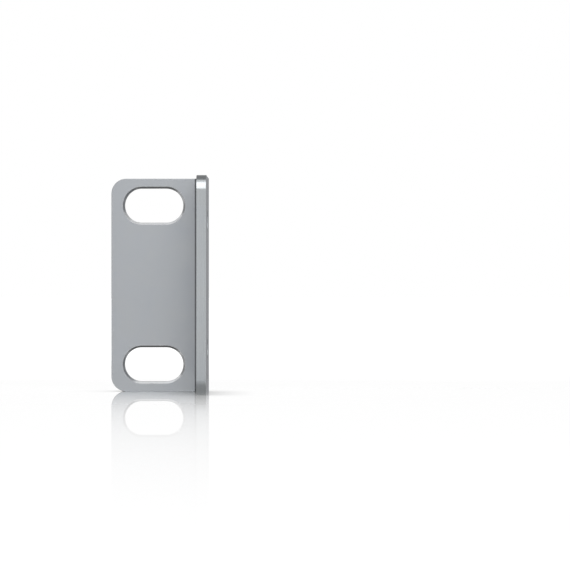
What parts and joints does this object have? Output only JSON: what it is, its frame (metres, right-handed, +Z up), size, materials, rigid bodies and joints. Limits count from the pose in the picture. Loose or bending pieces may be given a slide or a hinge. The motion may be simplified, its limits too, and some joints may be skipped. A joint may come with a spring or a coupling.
{
  "type": "rack mount ear bracket",
  "caption": "Folded sheet steel ear: a slotted plate that screws to a rack rail and a flange at right angles, with countersunk holes, that screws to the side of a device.",
  "frame": {"origin": "middle of the two rack slots, on the face of the plate that seats on the rack rail", "axes": "+X towards the device that the flange is screwed to, +Y out of the front of the rack, -Y back along the flange, +Z up"},
  "size_m": [0.0195, 0.0228, 0.0426],
  "materials": {
    "satin_steel": "satin zinc plated sheet steel, fine even grain, no brush lines"
  },
  "bodies": {
    "root": {"ear_bracket": "satin_steel"}
  },
  "joints": []
}
